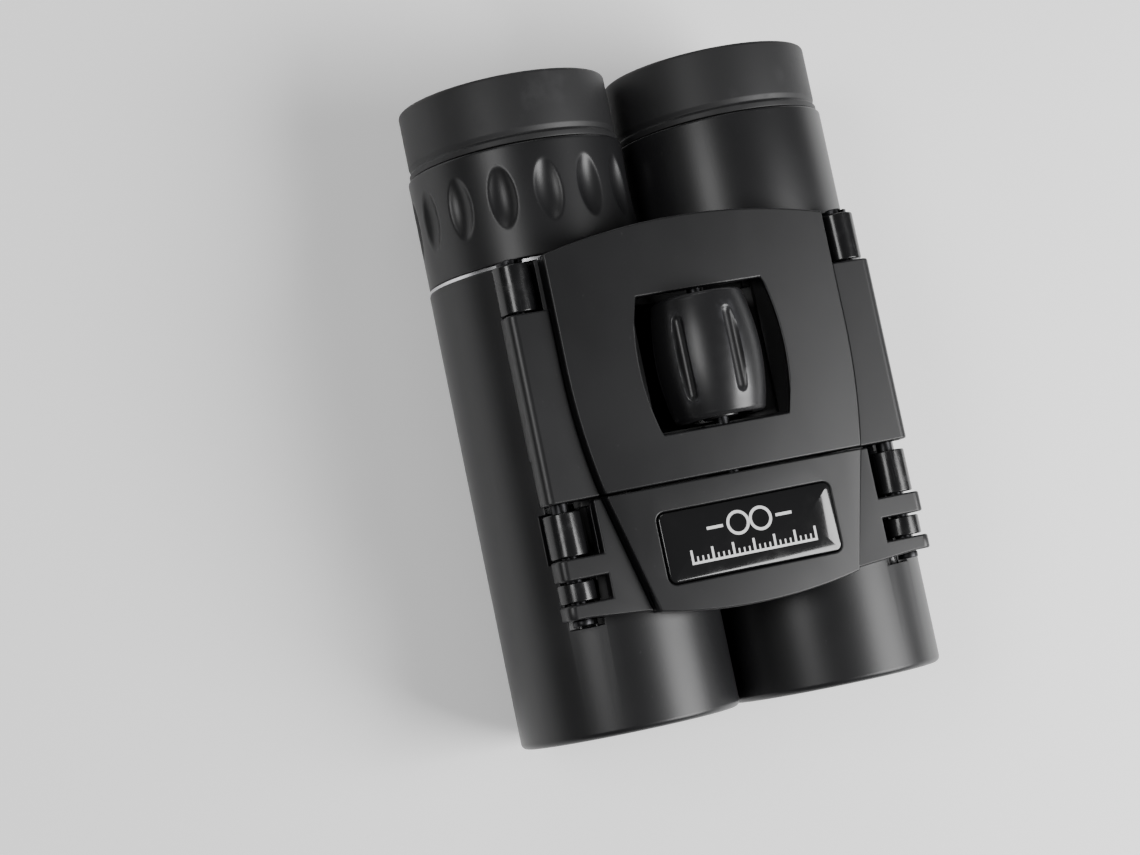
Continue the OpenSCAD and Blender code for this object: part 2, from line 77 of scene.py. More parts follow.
# Inner radii of the eyepiece shells and the eyecups, and the shells' thickness at the eye end,
# in millimetres
SHELL_BORE = 13.7
SHELL_HOLE = 9.6
SHELL_FLOOR = 0.6
CUP_WELL = 13.7
CUP_HOLE = 9.7


# ---- Places worked out from the frame ----

def box_mm(node):
    """Lowest and highest corner of a CAD node in millimetres."""
    low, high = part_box(node)
    return Vector(low) / MM, Vector(high) / MM


def barrel_centre(side):
    """X and Z of a barrel's optical axis in millimetres."""
    low, high = box_mm(side + "_barrel_sleeve")
    return (low.x + high.x) / 2, (low.z + high.z) / 2


def body_of(node):
    """The body that holds a CAD node."""
    for body, nodes in frame["record"]["behaviour"]["bodies"].items():
        if node in nodes:
            return body
    raise RuntimeError("no body holds " + node)


def slot_of(node):
    """The material slot of a CAD node."""
    for part in frame["record"]["subparts"]:
        if part["node"] == node:
            return part["material_slot"]
    raise RuntimeError("no slot for " + node)


# ---- Settings ----

class ShellSettings(bpy.types.PropertyGroup):
    """Sizes and colours of the outer shells"""
    soft_color: FloatVectorProperty(
        name="Soft coating", description="Colour of the satin soft-touch coating",
        subtype="COLOR", size=3, min=0, max=1, default=(0.009, 0.009, 0.0098))
    rubber_color: FloatVectorProperty(
        name="Eyecup rubber", description="Colour of the eyecups",
        subtype="COLOR", size=3, min=0, max=1, default=(0.012, 0.012, 0.0128))
    gloss_color: FloatVectorProperty(
        name="Gloss black", description="Colour of the polished lugs and the badge",
        subtype="COLOR", size=3, min=0, max=1, default=(0.008, 0.008, 0.0086))
    edge: FloatProperty(
        name="Edge rounding", description="Radius of the moulded edges",
        unit="LENGTH", default=0.28 * MM, min=0.05 * MM, max=0.5 * MM)


class RingSettings(bpy.types.PropertyGroup):
    """Sizes of the dioptre ring and the eyecups"""
    flutes: IntProperty(
        name="Flutes", description="Thumb flutes round the dioptre ring",
        default=15, min=12, max=18)
    flute_phase: FloatProperty(
        name="Flute phase", description="Turn of the first flute about the ring's axis",
        subtype="ANGLE", default=math.radians(9.6))
    flute_half: FloatProperty(
        name="Flute half length", description="Half the length of the spindle that cuts a flute",
        unit="LENGTH", default=8 * MM, min=4 * MM, max=9 * MM)
    flute_bulge: FloatProperty(
        name="Flute bulge", description="Radius of that spindle at its middle",
        unit="LENGTH", default=3.0 * MM, min=2 * MM, max=4 * MM)
    flute_lift: FloatProperty(
        name="Flute lift", description="Height of the spindle's axis above the ring",
        unit="LENGTH", default=2.1 * MM, min=1 * MM, max=3 * MM)
    flute_middle: FloatProperty(
        name="Flute place", description="Distance of the flutes' middle from the ring's eye end",
        unit="LENGTH", default=7.4 * MM, min=4 * MM, max=10 * MM)


class WheelSettings(bpy.types.PropertyGroup):
    """Sizes and colour of the focus wheel"""
    color: FloatVectorProperty(
        name="Wheel colour", description="Colour of the wheel's satin plastic",
        subtype="COLOR", size=3, min=0, max=1, default=(0.012, 0.012, 0.013))
    grooves: IntProperty(
        name="Grooves", description="Finger grooves round the wheel", default=6, min=4, max=8)
    groove_turn: FloatProperty(
        name="Groove phase", description="Turn of the first groove from the top",
        subtype="ANGLE", default=math.radians(49))
    groove_half: FloatProperty(
        name="Groove half length", description="Half the length of a groove, without its round ends",
        unit="LENGTH", default=5.4 * MM, min=3 * MM, max=7 * MM)
    groove_radius: FloatProperty(
        name="Groove radius", description="Radius of the bar that a groove fits",
        unit="LENGTH", default=1.0 * MM, min=0.6 * MM, max=1.4 * MM)
    end_drop: FloatProperty(
        name="End drop", description="How much smaller the wheel's ends are than its middle",
        unit="LENGTH", default=1.2 * MM, min=0.5 * MM, max=2 * MM)


class BadgeSettings(bpy.types.PropertyGroup):
    """Sizes of the domed badge and the colour of its marks"""
    mark_color: FloatVectorProperty(
        name="Marks", description="Colour of the printed marks",
        subtype="COLOR", size=3, min=0, max=1, default=(0.78, 0.78, 0.78))
    dome: FloatProperty(
        name="Dome", description="Height of the badge's dome above its rim",
        unit="LENGTH", default=0.4 * MM, min=0.1 * MM, max=0.6 * MM)
    corner: FloatProperty(
        name="Corner", description="Corner radius of the badge",
        unit="LENGTH", default=1.0 * MM, min=0.5 * MM, max=2 * MM)


class StageSettings(bpy.types.PropertyGroup):
    """Floor, lights and camera"""
    floor_color: FloatVectorProperty(
        name="Floor", description="Colour of the pale floor",
        subtype="COLOR", size=3, min=0, max=1, default=(0.93, 0.93, 0.93))
    camera_place: FloatVectorProperty(
        name="Camera place", description="Where the camera stands",
        subtype="TRANSLATION", size=3, unit="LENGTH", default=(0.12925, 0.03104, 0.35475))
    camera_turn: FloatVectorProperty(
        name="Camera turn", description="The camera's XYZ rotation",
        subtype="EULER", size=3,
        default=(math.radians(8.291), math.radians(-17.130), math.radians(167.743)))
    lens: FloatProperty(
        name="Lens", description="Focal length in millimetres on a 36 mm wide sensor", default=75.94,
        min=20, max=200)


SETTINGS = {
    "bino_shell": ShellSettings,
    "bino_ring": RingSettings,
    "bino_wheel": WheelSettings,
    "bino_badge": BadgeSettings,
    "bino_stage": StageSettings,
}


# ---- Shader expressions ----

class Sock:
    """A shader value that takes part in Python expressions."""

    def __init__(self, finish, socket):
        self.finish = finish
        self.socket = socket

    def _math(self, operation, *values):
        return self.finish.node("ShaderNodeMath", {"operation": operation}, dict(enumerate(values)))

    def __add__(self, other):
        return self._math("ADD", self, other)

    def __radd__(self, other):
        return self._math("ADD", other, self)

    def __sub__(self, other):
        return self._math("SUBTRACT", self, other)

    def __rsub__(self, other):
        return self._math("SUBTRACT", other, self)

    def __mul__(self, other):
        return self._math("MULTIPLY", self, other)

    def __rmul__(self, other):
        return self._math("MULTIPLY", other, self)

    def __truediv__(self, other):
        return self._math("DIVIDE", self, other)

    def __abs__(self):
        return self._math("ABSOLUTE", self)

    def low(self, other):
        """The smaller of this and another value."""
        return self._math("MINIMUM", self, other)

    def high(self, other):
        """The larger of this and another value."""
        return self._math("MAXIMUM", self, other)

    def root(self):
        """The square root of this value."""
        return self._math("SQRT", self)

    def wrapped(self, span):
        """This value folded into -span/2 to span/2."""
        return self._math("WRAP", self, span / 2, -span / 2)

    def fade(self, start, end):
        """0 at start and 1 at end, eased between them."""
        return self.finish.node(
            "ShaderNodeMapRange", {"interpolation_type": "SMOOTHSTEP"},
            {"Value": self, "From Min": start, "From Max": end})


class Finish:
    """Builds one procedural material."""

    def __init__(self, name, **constants):
        self.material = bpy.data.materials.new(name)
        self.material.use_nodes = True
        self.tree = self.material.node_tree
        self.shader = self.tree.nodes["Principled BSDF"]
        for socket, value in constants.items():
            self.shader.inputs[socket.replace("_", " ")].default_value = value
        self._place = None

    def node(self, kind, settings=None, inputs=None, out=0):
        """Adds a node: its settings first, then the values or links of its sockets."""
        made = self.tree.nodes.new(kind)
        for key, value in (settings or {}).items():
            setattr(made, key, value)
        for key, value in (inputs or {}).items():
            if isinstance(value, Sock):
                self.tree.links.new(value.socket, made.inputs[key])
            else:
                made.inputs[key].default_value = value
        return Sock(self, made.outputs[out])

    def place(self):
        """The point on the object, in metres."""
        if self._place is None:
            self._place = self.node("ShaderNodeTexCoord", out="Object")
        return self._place

    def axes(self):
        """X, Y and Z of the point, in metres."""
        split = self.node("ShaderNodeSeparateXYZ", inputs={0: self.place()}).socket.node
        return [Sock(self, split.outputs[i]) for i in range(3)]

    def stretched(self, x, y, z):
        """The point with each axis scaled."""
        return self.node(
            "ShaderNodeVectorMath", {"operation": "MULTIPLY"}, {0: self.place(), 1: (x, y, z)})

    def noise(self, grain_mm, detail=3.0, roughness=0.55, at=None):
        """Cloudy noise whose patches are about grain_mm across."""
        return self.node("ShaderNodeTexNoise", inputs={
            "Vector": at or self.place(), "Scale": 1 / (grain_mm * MM), "Detail": detail,
            "Roughness": roughness})

    def attribute(self, name):
        """A number painted on the mesh."""
        return self.node("ShaderNodeAttribute", {"attribute_name": name}, out="Fac")

    def blend(self, factor, first, second):
        """A colour between two colours."""
        def as_color(value):
            return value if isinstance(value, Sock) else (*value, 1)
        made = self.node(
            "ShaderNodeMix", {"data_type": "RGBA"},
            {0: factor, 6: as_color(first), 7: as_color(second)})
        return Sock(self, made.socket.node.outputs[2])

    def bump(self, height, depth_mm, strength=1.0, under=None):
        """Surface relief from a height between 0 and 1."""
        inputs = {"Height": height, "Distance": depth_mm * MM, "Strength": strength}
        if under is not None:
            inputs["Normal"] = under
        return self.node("ShaderNodeBump", inputs=inputs)

    def feed(self, **sockets):
        """Links varying values to the shader, and returns the material."""
        for socket, value in sockets.items():
            self.tree.links.new(value.socket, self.shader.inputs[socket.replace("_", " ")])
        return self.material


def shade(color, factor):
    """A colour made lighter or darker."""
    return tuple(channel * factor for channel in color)


# ---- Finishes ----

def soft_touch(color):
    """Satin soft-touch coating: fine grain, faint clouding and a little settled dust."""
    f = Finish("satin soft-touch coating", IOR=1.48, Coat_Weight=0.0)
    cloud = f.noise(14, 2)
    grain = f.noise(0.16, 2)
    speck = f.noise(0.5, 1).fade(0.74, 0.80)
    base = f.blend(cloud.fade(0.3, 0.7), shade(color, 0.88), shade(color, 1.12))
    base = f.blend(speck * 0.35, base, shade(color, 3.0))
    rough = 0.33 + 0.06 * cloud + 0.04 * grain + 0.1 * speck
    return f.feed(Base_Color=base, Roughness=rough, Normal=f.bump(grain, 0.012, 0.35))


def eyecup_rubber(color):
    """Matt moulded rubber with a fine tooth and pale handling marks."""
    f = Finish("matt eyecup rubber", IOR=1.5)
    tooth = f.noise(0.22, 4, 0.6)
    marks = f.noise(7, 4, 0.7).fade(0.52, 0.75)
    base = f.blend(marks, color, shade(color, 1.5))
    rough = 0.50 + 0.12 * marks + 0.06 * tooth
    return f.feed(Base_Color=base, Roughness=rough, Normal=f.bump(tooth, 0.02, 0.4))


def polished_black(color):
    """Polished black plastic with slow waves, smudges and hairlines."""
    f = Finish("polished black plastic", IOR=1.5)
    wave = f.noise(5, 1)
    smudge = f.noise(3, 4, 0.65).fade(0.45, 0.8)
    hair = f.noise(0.25, 2, at=f.stretched(1, 0.06, 1)).fade(0.62, 0.70)
    base = f.blend(smudge * 0.5, color, shade(color, 1.8))
    rough = 0.21 + 0.14 * smudge + 0.08 * hair
    normal = f.bump(hair, 0.004, 0.3, under=f.bump(wave, 0.05, 0.5))
    return f.feed(Base_Color=base, Roughness=rough, Normal=normal)


def wheel_plastic(color):
    """Satin gloss plastic with a painted highlight: the rims of the grooves are painted brighter,
    and they are also glossier.
    """
    f = Finish("wheel plastic with painted rim highlight", IOR=1.5)
    rim_band = f.attribute("painted_rim_highlight")
    patch = f.noise(1.6, 4, 0.65)
    rim_highlight_mask = (rim_band * patch.fade(0.30, 0.62)).low(1)
    grain = f.noise(0.2, 3)
    # Painted highlight: the groove rims are painted up to 3.2 times brighter than the wheel's own
    # colour.
    base = f.blend(rim_highlight_mask, color, shade(color, 3.2))
    rough = 0.30 + 0.10 * patch - 0.10 * rim_highlight_mask
    return f.feed(Base_Color=base, Roughness=rough, Normal=f.bump(grain, 0.012, 0.3))


def dark_moulding(name, color, rough_value=0.55):
    """Plain dark moulded plastic with a spark-eroded grain."""
    f = Finish(name, IOR=1.46)
    grain = f.noise(0.3, 4, 0.7)
    cloud = f.noise(9, 2)
    base = f.blend(cloud, shade(color, 0.8), shade(color, 1.25))
    rough = rough_value + 0.15 * grain
    return f.feed(Base_Color=base, Roughness=rough, Normal=f.bump(grain, 0.03, 0.5))


def turned_metal(name, color, rough_value, pitch_mm=0.12, along=(0.02, 1, 0.02)):
    """Machined metal with fine lines across its axis."""
    f = Finish(name, Metallic=1.0)
    lines = f.noise(pitch_mm, 2, at=f.stretched(*along))
    patch = f.noise(2.5, 3)
    base = f.blend(patch, shade(color, 0.88), color)
    rough = rough_value + 0.12 * patch + 0.08 * lines
    return f.feed(Base_Color=base, Roughness=rough, Normal=f.bump(lines, 0.006, 0.4))


def black_anodised(color):
    """Matt black anodised metal with faint turning lines."""
    f = Finish("black anodised metal", IOR=1.5, Metallic=0.0)
    lines = f.noise(0.15, 2, at=f.stretched(0.02, 1, 0.02))
    cloud = f.noise(4, 2)
    base = f.blend(cloud, shade(color, 0.8), shade(color, 1.3))
    rough = 0.42 + 0.12 * cloud
    return f.feed(Base_Color=base, Roughness=rough, Normal=f.bump(lines, 0.01, 0.5))


def coated_glass(name, tint, coat):
    """Lens glass over a dark tube: a tinted anti-reflection coating and a breath of dust."""
    f = Finish(name, IOR=1.52, Coat_Weight=0.6, Coat_Roughness=0.02, Coat_Tint=(*coat, 1))
    f.material.surface_render_method = "BLENDED"
    dust = f.noise(0.35, 3).fade(0.66, 0.78)
    bloom = f.noise(5, 2)
    base = f.blend(bloom, shade(tint, 0.8), tint)
    base = f.blend(dust * 0.2, base, (0.3, 0.3, 0.3))
    return f.feed(Base_Color=base, Roughness=0.02 + 0.12 * dust)


def badge_face(color, marks, low, high):
    """Black badge with a printed device: two field circles above a distance scale."""
    f = Finish("printed domed badge", IOR=1.5, Coat_Weight=0.6, Coat_Roughness=0.03)
    x, y, _ = f.axes()
    centre = (low + high) / 2
    across = (x / MM) - centre.x
    down = (y / MM) - low.y
    soft = 0.06

    def stroke(distance, width):
        """A line of a given width where a distance is near zero."""
        return 1 - abs(distance).fade(width / 2 - soft / 2, width / 2 + soft / 2)

    def inside(value, start, end):
        """1 between two limits."""
        past_end = value.fade(end - soft / 2, end + soft / 2)
        return value.fade(start - soft / 2, start + soft / 2) * (1 - past_end)

    def circle(offset, height, radius, width):
        """A ring's outline."""
        dx = across - offset
        dy = down - height
        return stroke((dx * dx + dy * dy).root() - radius, width)

    device_y, radius, spread, line = 3.2, 1.55, 1.75, 0.42
    left_lens = circle(-spread, device_y, radius, line)
    right_lens = circle(spread, device_y, radius, line)
    link = stroke(down - device_y, line) * inside(across, -0.32, 0.32)
    wings = stroke(down - device_y, line) * inside(abs(across), 4.1, 6.6)
    device = left_lens.high(right_lens).high(link).high(wings)
    scale_top, scale_y, reach, rule_line = 5.8, 7.7, 9.6, 0.34
    long_tick = stroke(across.wrapped(3.2), rule_line) * inside(down, scale_top, scale_y)
    short_tick = stroke(across.wrapped(0.8), 0.22) * inside(down, scale_top + 1.0, scale_y)
    rule = stroke(down - scale_y, rule_line)
    scale = long_tick.high(short_tick).high(rule) * inside(abs(across), -1, reach + rule_line / 2)
    print_patch = f.noise(0.35, 2).fade(0.22, 0.4)
    ink = device.high(scale) * (0.75 + 0.25 * print_patch)
    smudge = f.noise(4, 4, 0.6).fade(0.45, 0.8)
    base = f.blend(ink, color, marks)
    return f.feed(Base_Color=base, Roughness=0.10 + 0.25 * ink + 0.08 * smudge,
                  Normal=f.bump(f.noise(6, 1), 0.04, 0.3))


FINISHES = {}


def finish_for(slot):
    """The material of a slot, made once."""
    shell = bpy.context.scene.bino_shell
    makers = {
        "soft_touch": lambda: soft_touch(shell.soft_color),
        "eyecup_rubber": lambda: eyecup_rubber(shell.rubber_color),
        "gloss_black": lambda: polished_black(shell.gloss_color),
        "wheel_plastic": lambda: wheel_plastic(bpy.context.scene.bino_wheel.color),
        "inner_plastic": lambda: dark_moulding("dark inner moulding", (0.012, 0.012, 0.0125)),
        "black_trim": lambda: dark_moulding("black trim", (0.008, 0.008, 0.008), 0.4),
        "silver_trim": lambda: turned_metal("bright trim ring", (0.86, 0.86, 0.88), 0.16),
        "steel": lambda: turned_metal("plain steel", (0.46, 0.46, 0.48), 0.30),
        "black_steel": lambda: turned_metal("blackened steel", (0.035, 0.035, 0.037), 0.30),
        "cast_alloy": lambda: turned_metal(
            "cast alloy", (0.50, 0.50, 0.52), 0.42, 0.4, (1, 1, 1)),
        "black_metal": lambda: black_anodised((0.010, 0.010, 0.0105)),
        "objective_glass": lambda: coated_glass(
            "coated objective glass", (0.020, 0.028, 0.050), (0.35, 0.5, 1.0)),
        "eye_glass": lambda: coated_glass(
            "coated eye glass", (0.020, 0.030, 0.036), (0.45, 0.85, 0.75)),
        "prism_glass": lambda: coated_glass("prism glass", (0.30, 0.34, 0.36), (1.0, 1.0, 1.0)),
    }
    if slot not in FINISHES:
        FINISHES[slot] = makers[slot]()
    return FINISHES[slot]


# ---- Mesh helpers ----

def new_piece(name, bm, node, material=None, smooth_deg=180):
    """Makes a mesh piece that rides with a CAD node's body and stands for it."""
    mesh = bpy.data.meshes.new(name)
    bm.to_mesh(mesh)
    bm.free()
    piece = bpy.data.objects.new(name, mesh)
    bpy.context.scene.collection.objects.link(piece)
    mesh.materials.append(material or finish_for(slot_of(node)))
    mesh.shade_smooth()
    if smooth_deg < 180:
        mesh.set_sharp_from_angle(angle=math.radians(smooth_deg))
    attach(piece, body_of(node))
    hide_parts(node)
    return piece


def rounded(points, steps=5):
    """A profile with its corners rounded: points are (r, y, corner radius)."""
    out = []
    count = len(points)
    for i, (r, y, corner) in enumerate(points):
        here = Vector((r, y))
        if corner <= 0:
            out.append(here)
            continue
        before = Vector(points[i - 1][:2]) - here
        after = Vector(points[(i + 1) % count][:2]) - here
        half = before.angle(after) / 2
        back = min(corner / math.tan(half), before.length * 0.49, after.length * 0.49)
        start = here + before.normalized() * back
        end = here + after.normalized() * back
        for s in range(steps + 1):
            t = s / steps
            out.append(start * (1 - t) ** 2 + here * 2 * t * (1 - t) + end * t * t)
    return out


def lathe(profile, centre, turns, reshape=None):
    """A closed turned mesh about a Y axis: profile is a loop of (r, y) in millimetres."""
    cx, cz = centre
    bm = bmesh.new()
    rings = []
    for j in range(turns):
        angle = 2 * math.pi * j / turns
        ring = []
        for point in profile:
            r = reshape(point.x, point.y, angle) if reshape else point.x
            place = (cx + r * math.cos(angle), point.y, cz + r * math.sin(angle))
            ring.append(bm.verts.new(Vector(place) * MM))
        rings.append(ring)
    count = len(profile)
    for j in range(turns):
        a, b = rings[j], rings[(j + 1) % turns]
        for i in range(count):
            k = (i + 1) % count
            bm.faces.new((a[i], a[k], b[k], b[i]))
    bmesh.ops.recalc_face_normals(bm, faces=bm.faces)
    return bm


def softened(node, width_mm, steps=2, shown=None):
    """A copy of a CAD node with rounded edges, where shown(point in mm) holds at both their ends."""
    source = frame["nodes"][node]
    bm = bmesh.new()
    bm.from_mesh(source.data)
    bmesh.ops.remove_doubles(bm, verts=bm.verts, dist=1e-6)
    bmesh.ops.dissolve_limit(bm, angle_limit=FLAT_ANGLE, verts=bm.verts, edges=bm.edges)
    weight = bm.edges.layers.float.new("bevel_weight_edge")
    for edge in bm.edges:
        ends = [source.matrix_world @ vert.co / MM for vert in edge.verts]
        sharp = edge.calc_face_angle(0.0) > SHARP_ANGLE
        edge[weight] = float(sharp and (shown is None or all(shown(end) for end in ends)))
    piece = new_piece(node + "_shell", bm, node)
    bevel = piece.modifiers.new("edges", "BEVEL")
    bevel.width = width_mm * MM
    bevel.segments = steps
    bevel.limit_method = "WEIGHT"
    bevel.use_clamp_overlap = False
    bevel.miter_outer = "MITER_SHARP"
    smooth = piece.modifiers.new("normals", "WEIGHTED_NORMAL")
    smooth.mode = "FACE_AREA"
    smooth.weight = 90
    return piece


def shell_corners(start, end, outer):
    """Section of an eyepiece shell: a tube whose eye end is closed down to a hole."""
    return [
        (SHELL_HOLE, start, 0), (outer, start, 0.35), (outer, end, 0.25), (SHELL_BORE, end, 0),
        (SHELL_BORE, start + SHELL_FLOOR, 0), (SHELL_HOLE, start + SHELL_FLOOR, 0)]


def paint(piece, name, values):
    """Stores a number for each vertex."""
    layer = piece.data.attributes.new(name, "FLOAT", "POINT")
    layer.data.foreach_set("value", values)


def smooth_low(a, b, blend):
    """The smaller of two lengths, with the corner between them rounded."""
    h = max(0.0, min(1.0, 0.5 + 0.5 * (b - a) / blend))
    return b * (1 - h) + a * h - blend * h * (1 - h)


# ---- Operators ----

class BuildCovers(bpy.types.Operator):
    """Round the edges of the bridge's covers and give them the soft coating"""
    bl_idname = "bino.covers"
    bl_label = "Bridge covers"

    def execute(self, context):
        edge = context.scene.bino_shell.edge / MM
        low, high = box_mm("right_hinge_pin")
        pin_x, pin_z = (low.x + high.x) / 2, (low.z + high.z) / 2
        room_r, room_y = 2.6, (7.5, 14.5)

        def shown(end):
            """False in the room round the focus collars, inside the hinges."""
            off = math.hypot(abs(end.x) - pin_x, end.z - pin_z)
            return off > room_r or not room_y[0] < end.y < room_y[1]

        for node in ("top_cover", "front_cover"):
            softened(node, edge, shown=shown)
        return {"FINISHED"}


class BuildBadge(bpy.types.Operator):
    """Build the domed badge with its printed marks"""
    bl_idname = "bino.badge"
    bl_label = "Domed badge"

    def execute(self, context):
        settings = context.scene.bino_badge
        low, high = box_mm("nameplate")
        dome, corner = settings.dome / MM, settings.corner / MM
        half = (high - low) / 2
        mid = (high + low) / 2
        top = high.z

        def outline(inset):
            """The badge's edge, moved in by a distance."""
            points = []
            r = max(corner - inset, 0.12)
            for sx, sy, start in ((1, 1, 0), (-1, 1, 90), (-1, -1, 180), (1, -1, 270)):
                for s in range(7):
                    a = math.radians(start + 15 * s)
                    points.append((mid.x + sx * (half.x - inset - r) + r * math.cos(a),
                                   mid.y + sy * (half.y - inset - r) + r * math.sin(a)))
            return points

        def height(inset):
            """The dome's height at a distance from the edge."""
            reach = 4.6
            t = min(inset / reach, 1.0)
            return top - dome * (1 - math.sqrt(max(0.0, 1 - (1 - t) ** 2)))

        bm = bmesh.new()
        insets = [0, 0, 0.04, 0.12, 0.26, 0.5, 0.85, 1.3, 1.9, 2.6, 3.4, 4.2, half.y - 0.15]
        loops = []
        for i, inset in enumerate(insets):
            z = low.z if i == 0 else height(inset)
            loops.append([bm.verts.new((px * MM, py * MM, z * MM)) for px, py in outline(inset)])
        for a, b in zip(loops, loops[1:]):
            for i in range(len(a)):
                k = (i + 1) % len(a)
                bm.faces.new((a[i], a[k], b[k], b[i]))
        bm.faces.new(loops[-1])
        bm.faces.new(list(reversed(loops[0])))
        shell = context.scene.bino_shell
        material = badge_face(shell.gloss_color, settings.mark_color, low, high)
        new_piece("domed_badge", bm, "nameplate", material, 50)
        return {"FINISHED"}


class BuildWheel(bpy.types.Operator):
    """Build the barrel-shaped focus wheel with its finger grooves"""
    bl_idname = "bino.wheel"
    bl_label = "Focus wheel"

    def execute(self, context):
        settings = context.scene.bino_wheel
        low, high = box_mm("focus_wheel")
        centre = ((low.x + high.x) / 2, (low.z + high.z) / 2)
        mid_y, half = (low.y + high.y) / 2, (high.y - low.y) / 2
        full = (high.z - low.z) / 2
        drop = settings.end_drop / MM
        bow = (half * half + drop * drop) / (2 * drop)
        groove_r, groove_half = settings.groove_radius / MM, settings.groove_half / MM
        step = 2 * math.pi / settings.grooves
        painted_rim_highlight = []

        def side(y):
            """Radius of the wheel's flank."""
            t = y - mid_y
            return full - bow + math.sqrt(bow * bow - t * t)

        def with_grooves(r, y, angle):
            """Sinks the grooves into the flank, and notes the groove rims, where the finish paints a
            highlight.
            """
            if r < full - drop - 0.4:
                painted_rim_highlight.append(0.0)
                return r
            from_top = math.pi / 2 - angle
            off = (from_top - settings.groove_turn + step / 2) % step - step / 2
            end = max(0.0, abs(y - mid_y) - groove_half)
            reach = math.sqrt(max(groove_r ** 2 - end ** 2, 0.0))
            axis = full + 0.05
            inner = (axis * math.sin(off)) ** 2
            if reach <= 0.05 or inner >= reach ** 2:
                gap = math.hypot(max(abs(axis * off) - groove_r, 0.0), max(end - groove_r, 0.0))
                painted_rim_highlight.append(max(0.0, 1 - gap / 0.8))
                return r
            bed = axis * math.cos(off) - math.sqrt(reach ** 2 - inner)
            found = smooth_low(r, bed, 0.25)
            painted_rim_highlight.append(0.5 if r - found < 0.3 else 0.0)
            return found

        bore, hub, dish, rim, dish_deep, draft = 1.2, 2.5, 4.5, 4.7, 0.9, 0.2
        face_y = mid_y - half
        dish_y = face_y + dish_deep
        profile = [Vector((bore, face_y)), Vector((hub, face_y))]
        profile += [Vector((hub + draft, dish_y)), Vector((dish, dish_y))]
        flank = []
        rows = 72
        edge = 0.7
        for i in range(rows + 1):
            y = face_y + edge + (2 * half - 2 * edge) * i / rows
            flank.append(Vector((side(y), y)))
        start = flank[0]
        lip = [Vector((rim, face_y))]
        for s in range(7):
            a = math.radians(15 * s)
            lip.append(Vector((start.x - edge + edge * math.sin(a), start.y - edge * math.cos(a))))
        mirror = [Vector((p.x, 2 * mid_y - p.y)) for p in reversed(profile + lip)]
        loop = profile + lip + flank[1:-1] + mirror
        bm = lathe(loop, centre, 360, with_grooves)
        piece = new_piece("focus_wheel_body", bm, "focus_wheel", smooth_deg=40)
        # Stores the band round each groove's rim that the wheel's finish paints as a highlight.
        paint(piece, "painted_rim_highlight", painted_rim_highlight)
        return {"FINISHED"}


class BuildDioptreRing(bpy.types.Operator):
    """Build the dioptre ring with its thumb flutes"""
    bl_idname = "bino.dioptre_ring"
    bl_label = "Dioptre ring"

    def execute(self, context):
        settings = context.scene.bino_ring
        low, high = box_mm("dioptre_ring")
        centre = barrel_centre("right")
        outer = (high.z - low.z) / 2
        half, bulge = settings.flute_half / MM, settings.flute_bulge / MM
        lift, middle = settings.flute_lift / MM, low.y + settings.flute_middle / MM
        bow = (half * half + bulge * bulge) / (2 * bulge)
        step = 2 * math.pi / settings.flutes

        def fluted(r, y, angle):
            """Sinks the flutes into the outside of the ring."""
            t = y - middle
            if r < outer - 0.6 or abs(t) >= half:
                return r
            spindle = bulge - bow + math.sqrt(bow * bow - t * t)
            off = (angle + settings.flute_phase + step / 2) % step - step / 2
            axis = outer + lift
            inner = (axis * math.sin(off)) ** 2
            if inner >= spindle ** 2:
                return r
            bed = axis * math.cos(off) - math.sqrt(spindle ** 2 - inner)
            return smooth_low(r, bed, 0.12)

        loop = rounded(shell_corners(low.y, high.y, outer))
        flank_start = max(i for i, p in enumerate(loop) if p.y < low.y + 0.4 and p.x > outer - 0.01)
        rows = 80
        first, last = loop[flank_start].y, high.y - 0.25
        flank = [Vector((outer, first + (last - first) * i / rows)) for i in range(1, rows)]
        loop = loop[:flank_start + 1] + flank + loop[flank_start + 1:]
        bm = lathe(loop, centre, settings.flutes * 28, fluted)
        new_piece("dioptre_ring_shell", bm, "dioptre_ring", smooth_deg=40)
        return {"FINISHED"}


class BuildEyecups(bpy.types.Operator):
    """Build the rubber eyecups and the plain eyepiece sleeve"""
    bl_idname = "bino.eyecups"
    bl_label = "Eyecups and sleeve"

    def execute(self, context):
        for side in ("right", "left"):
            low, high = box_mm(side + "_eyecup")
            outer = (high.z - low.z) / 2
            cup = outer - 0.1
            base, rim = high.y, low.y
            floor, seam = base - 1.7, base - 0.12
            corners = [
                (CUP_HOLE, base, 0), (cup - 0.9, base, 0), (cup - 0.9, seam, 0.05),
                (outer, seam, 0.18), (outer, base - 0.95, 0.2), (cup - 0.25, base - 1.35, 0.25),
                (cup, base - 2.1, 0.8), (cup, rim, 0.55), (CUP_WELL, rim, 0.7),
                (CUP_WELL, floor, 0.6), (CUP_HOLE + 0.6, floor, 0.2), (CUP_HOLE, floor + 0.4, 0.1)]
            bm = lathe(rounded(corners, 6), barrel_centre(side), 192)
            new_piece(side + "_eyecup_rubber", bm, side + "_eyecup", smooth_deg=50)
        low, high = box_mm("left_eyepiece_sleeve")
        outer = (high.z - low.z) / 2
        bm = lathe(rounded(shell_corners(low.y, high.y, outer)), barrel_centre("left"), 192)
        new_piece("left_sleeve_shell", bm, "left_eyepiece_sleeve", smooth_deg=40)
        return {"FINISHED"}


class BuildBarrels(bpy.types.Operator):
    """Round the edges of the barrel shells and the polished lugs"""
    bl_idname = "bino.barrels"
    bl_label = "Barrels and lugs"

    def execute(self, context):
        low, high = box_mm("right_barrel_sleeve")
        sleeve_r = (high.x - low.x) / 2
        for side in ("right", "left"):
            x, z = barrel_centre(side)

            def outside(end):
                """True beyond the sleeve, where the lugs show."""
                return math.hypot(end.x - x, end.z - z) > sleeve_r

            softened(side + "_barrel_sleeve", 0.12, steps=2)
            softened(side + "_barrel_tube", 0.22, steps=3, shown=outside)
            softened(side + "_hinge_pin", 0.15, steps=2)
        return {"FINISHED"}


